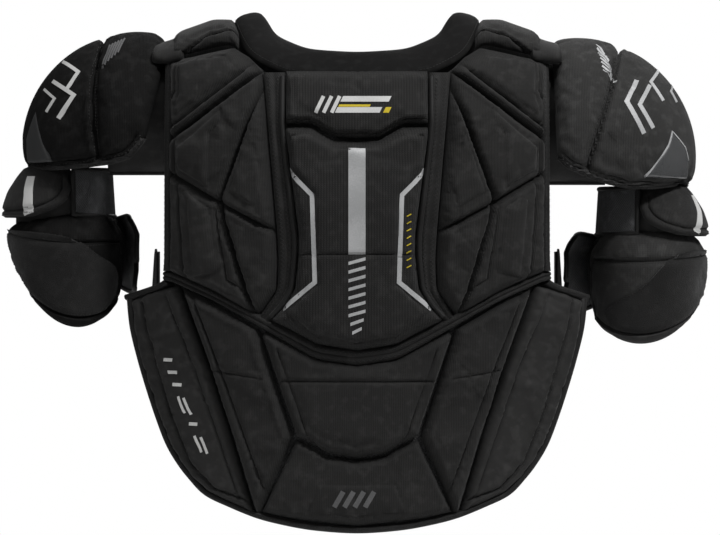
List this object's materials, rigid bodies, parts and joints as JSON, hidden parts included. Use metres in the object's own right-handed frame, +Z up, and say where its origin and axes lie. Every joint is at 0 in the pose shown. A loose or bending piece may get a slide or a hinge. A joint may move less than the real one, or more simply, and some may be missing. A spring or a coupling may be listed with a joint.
{
  "type": "ice hockey shoulder pads",
  "caption": "Padded ice hockey shoulder pads with a sculpted back, a flexible lower back apron, hinged chest and belly pads, shoulder caps and strapped upper-arm guards.",
  "frame": {"origin": "centre of the neck opening, level with the low point of the back collar, where the pads hang on the wearer's shoulders", "axes": "+X towards the wearer's right arm, +Y towards the wearer's front, +Z up"},
  "size_m": [0.642, 0.2561, 0.4747],
  "materials": {
    "knit_fabric": "matte charcoal ribbed knit over foam",
    "stretch_fabric": "smooth matte four-way stretch fabric",
    "edge_tape": "black woven binding tape with twin stitching",
    "neoprene": "smooth black neoprene-like collar with a soft sheen",
    "mesh_lining": "grey spacer mesh",
    "hook_and_loop": "black brushed loop and hook tape",
    "plastic": "grey moulded plastic, satin gloss"
  },
  "bodies": {
    "torso_back": {"back_liner": "mesh_lining", "spine_plate": "plastic", "upper_spine_pad": "knit_fabric", "spine_pad": "knit_fabric", "left_scapula_pad": "knit_fabric", "right_scapula_pad": "knit_fabric", "left_spine_tape": "edge_tape", "right_spine_tape": "edge_tape", "left_armhole_tape": "edge_tape", "right_armhole_tape": "edge_tape", "left_yoke_pad": "knit_fabric", "right_yoke_pad": "knit_fabric", "back_collar": "neoprene"},
    "apron": {"apron_liner": "mesh_lining", "lumbar_pad": "knit_fabric", "tail_pad": "knit_fabric", "apron_tape": "edge_tape", "left_apron_wing": "stretch_fabric", "right_apron_wing": "stretch_fabric", "left_apron_flank": "knit_fabric", "right_apron_flank": "knit_fabric"},
    "chest": {"chest_liner": "mesh_lining", "sternum_pad": "knit_fabric", "left_chest_pad": "knit_fabric", "right_chest_pad": "knit_fabric", "left_front_collar": "neoprene", "right_front_collar": "neoprene", "left_front_yoke": "knit_fabric", "right_front_yoke": "knit_fabric"},
    "belly": {"belly_pad": "knit_fabric", "belly_liner": "mesh_lining"},
    "left_strap": {"left_side_strap": "edge_tape", "left_strap_tab": "hook_and_loop"},
    "left_cap": {"left_cap_insert": "plastic", "left_cap_pad": "knit_fabric", "left_cap_wedge": "plastic", "left_cap_tape": "edge_tape", "left_sleeve": "stretch_fabric"},
    "left_guard": {"left_arm_guard": "knit_fabric", "left_mesh_cuff": "mesh_lining", "left_arm_wrap": "knit_fabric", "left_arm_elastic": "stretch_fabric", "left_liner_flap": "mesh_lining"},
    "left_flap": {"left_wrap_flap": "knit_fabric", "left_loop_patch": "hook_and_loop"},
    "right_strap": {"right_side_strap": "edge_tape", "right_strap_tab": "hook_and_loop"},
    "right_cap": {"right_cap_insert": "plastic", "right_cap_pad": "knit_fabric", "right_cap_wedge": "plastic", "right_cap_tape": "edge_tape", "right_sleeve": "stretch_fabric"},
    "right_guard": {"right_arm_guard": "knit_fabric", "right_mesh_cuff": "mesh_lining", "right_arm_wrap": "knit_fabric", "right_arm_elastic": "stretch_fabric", "right_liner_flap": "mesh_lining"},
    "right_flap": {"right_wrap_flap": "knit_fabric", "right_loop_patch": "hook_and_loop"}
  },
  "joints": [
    {"name": "waist_flex", "type": "hinge", "parent": "torso_back", "child": "apron", "pos_m": [0, -0.112, -0.24], "axis": [1, 0, 0], "range_deg": [-15, 8]},
    {"name": "chest_open", "type": "hinge", "parent": "torso_back", "child": "chest", "pos_m": [0, 0, 0.046], "axis": [1, 0, 0], "range_deg": [0, 30]},
    {"name": "belly_flex", "type": "hinge", "parent": "chest", "child": "belly", "pos_m": [0, 0.112, -0.24], "axis": [1, 0, 0], "range_deg": [0, 25]},
    {"name": "left_strap_swing", "type": "hinge", "parent": "apron", "child": "left_strap", "pos_m": [-0.18625, -0.055, -0.244], "axis": [-1, 0, 0], "range_deg": [0, 42]},
    {"name": "left_arm_lift", "type": "hinge", "parent": "torso_back", "child": "left_cap", "pos_m": [-0.173, 0, 0.015], "axis": [0, 1, 0], "range_deg": [0, 70]},
    {"name": "left_guard_swing", "type": "hinge", "parent": "left_cap", "child": "left_guard", "pos_m": [-0.306, 0, -0.11], "axis": [0, 1, 0], "range_deg": [0, 25]},
    {"name": "left_flap_open", "type": "hinge", "parent": "left_guard", "child": "left_flap", "pos_m": [-0.31703, 0, -0.16554], "axis": [0.3508, 0, -0.9364], "range_deg": [0, 75]},
    {"name": "right_strap_swing", "type": "hinge", "parent": "apron", "child": "right_strap", "pos_m": [0.18625, -0.055, -0.244], "axis": [-1, 0, 0], "range_deg": [0, 42]},
    {"name": "right_arm_lift", "type": "hinge", "parent": "torso_back", "child": "right_cap", "pos_m": [0.173, 0, 0.006], "axis": [0, -1, 0], "range_deg": [0, 70]},
    {"name": "right_guard_swing", "type": "hinge", "parent": "right_cap", "child": "right_guard", "pos_m": [0.306, 0, -0.127], "axis": [0, -1, 0], "range_deg": [0, 25]},
    {"name": "right_flap_open", "type": "hinge", "parent": "right_guard", "child": "right_flap", "pos_m": [0.31703, 0, -0.18254], "axis": [0.3508, 0, 0.9364], "range_deg": [0, 75]}
  ]
}
